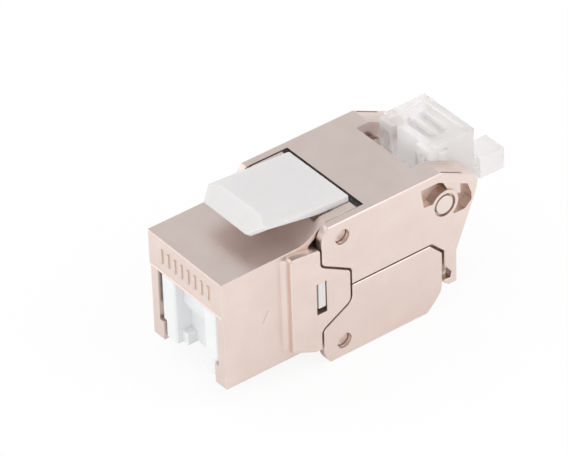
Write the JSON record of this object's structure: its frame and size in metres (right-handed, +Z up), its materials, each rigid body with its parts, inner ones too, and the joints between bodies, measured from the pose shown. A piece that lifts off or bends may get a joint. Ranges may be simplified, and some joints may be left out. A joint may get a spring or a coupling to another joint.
{
  "type": "keystone jack",
  "caption": "Shielded toolless keystone network jack: a die-cast body with a modular socket, a snap latch on top and two hinged wings that close over the wire block.",
  "frame": {"origin": "centre of the overall box, at the resting plane under the lower wing", "axes": "+Y from the socket to the cable end, +X to the right seen from behind the socket, +Z up"},
  "size_m": [0.017, 0.0474, 0.0224],
  "materials": {
    "die_cast": "satin nickel plate on zinc die casting",
    "latch_plastic": "grey-white moulded plastic",
    "white_plastic": "white moulded plastic",
    "clear_plastic": "clear moulded polycarbonate",
    "board": "green solder mask",
    "gold_plate": "gold plate",
    "tinned_bronze": "tin plate on bronze sheet"
  },
  "bodies": {
    "body": {"front_housing": "die_cast", "contact_carrier": "white_plastic", "circuit_board": "board", "idc_housing": "white_plastic", "contact_1": "gold_plate", "contact_2": "gold_plate", "contact_3": "gold_plate", "contact_4": "gold_plate", "contact_5": "gold_plate", "contact_6": "gold_plate", "contact_7": "gold_plate", "contact_8": "gold_plate", "idc_terminal_1": "tinned_bronze", "idc_terminal_2": "tinned_bronze", "idc_terminal_3": "tinned_bronze", "idc_terminal_4": "tinned_bronze", "idc_terminal_5": "tinned_bronze", "idc_terminal_6": "tinned_bronze", "idc_terminal_7": "tinned_bronze", "idc_terminal_8": "tinned_bronze", "ground_spring_left": "tinned_bronze", "ground_spring_right": "tinned_bronze"},
    "upper_wing": {"upper_wing": "die_cast"},
    "lower_wing": {"lower_wing": "die_cast"},
    "latch": {"keystone_latch": "latch_plastic"},
    "cap": {"dust_cap": "white_plastic"},
    "manager": {"wire_manager": "clear_plastic"},
    "clamp": {"cable_clamp": "die_cast", "clamp_pin_left": "die_cast", "clamp_pin_right": "die_cast"}
  },
  "joints": [
    {"name": "upper_wing_hinge", "type": "hinge", "parent": "body", "child": "upper_wing", "pos_m": [0, -0.00665, 0.01783], "axis": [1, 0, 0], "range_deg": [0, 75]},
    {"name": "lower_wing_hinge", "type": "hinge", "parent": "body", "child": "lower_wing", "pos_m": [0, -0.00665, 0.00227], "axis": [1, 0, 0], "range_deg": [-75, 0]},
    {"name": "latch_flex", "type": "hinge", "parent": "body", "child": "latch", "pos_m": [0, -0.00475, 0.01905], "axis": [1, 0, 0], "range_deg": [0, 9], "stiffness_Nm_per_rad": 0.05},
    {"name": "dust_cap_pull", "type": "slide", "parent": "body", "child": "cap", "axis": [0, -1, 0], "range_m": [0, 0.012]},
    {"name": "wire_manager_pull", "type": "slide", "parent": "upper_wing", "child": "manager", "axis": [0, 1, 0], "range_m": [0, 0.012]},
    {"name": "clamp_swing", "type": "hinge", "parent": "upper_wing", "child": "clamp", "pos_m": [0, 0.00894, 0.01514], "axis": [1, 0, 0], "range_deg": [-25, 0]}
  ],
  "couplings": [
    {"joint": "lower_wing_hinge", "follows": "upper_wing_hinge", "ratio": -1}
  ]
}
